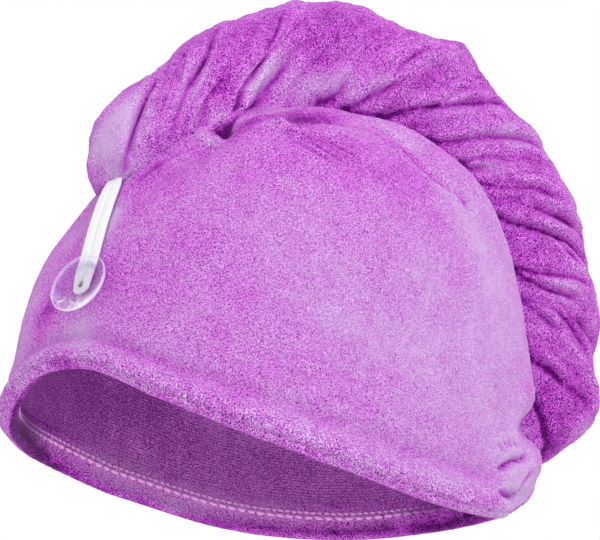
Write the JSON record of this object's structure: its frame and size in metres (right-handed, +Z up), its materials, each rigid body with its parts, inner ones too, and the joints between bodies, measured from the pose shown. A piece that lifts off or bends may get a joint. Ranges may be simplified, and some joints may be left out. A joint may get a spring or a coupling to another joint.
{
  "type": "hair towel",
  "caption": "Plush hair-drying wrap cap, shown as worn: a soft hood with its tail twisted over the crown and held at the nape by an elastic loop on a clear button.",
  "frame": {"origin": "centre of the head opening, at the mean height of its rim", "axes": "+X towards the forehead, +Y towards the wearer's left, +Z up to the crown"},
  "size_m": [0.2428, 0.1586, 0.2006],
  "materials": {
    "plush_cap": "matte",
    "plush_tail": "matte",
    "elastic": "matte",
    "clear_resin": "gloss",
    "thread": "matte"
  },
  "bodies": {
    "root": {"hood": "plush_cap", "tail": "plush_tail", "elastic_loop": "elastic", "button": "clear_resin", "button_thread": "thread"}
  },
  "joints": []
}
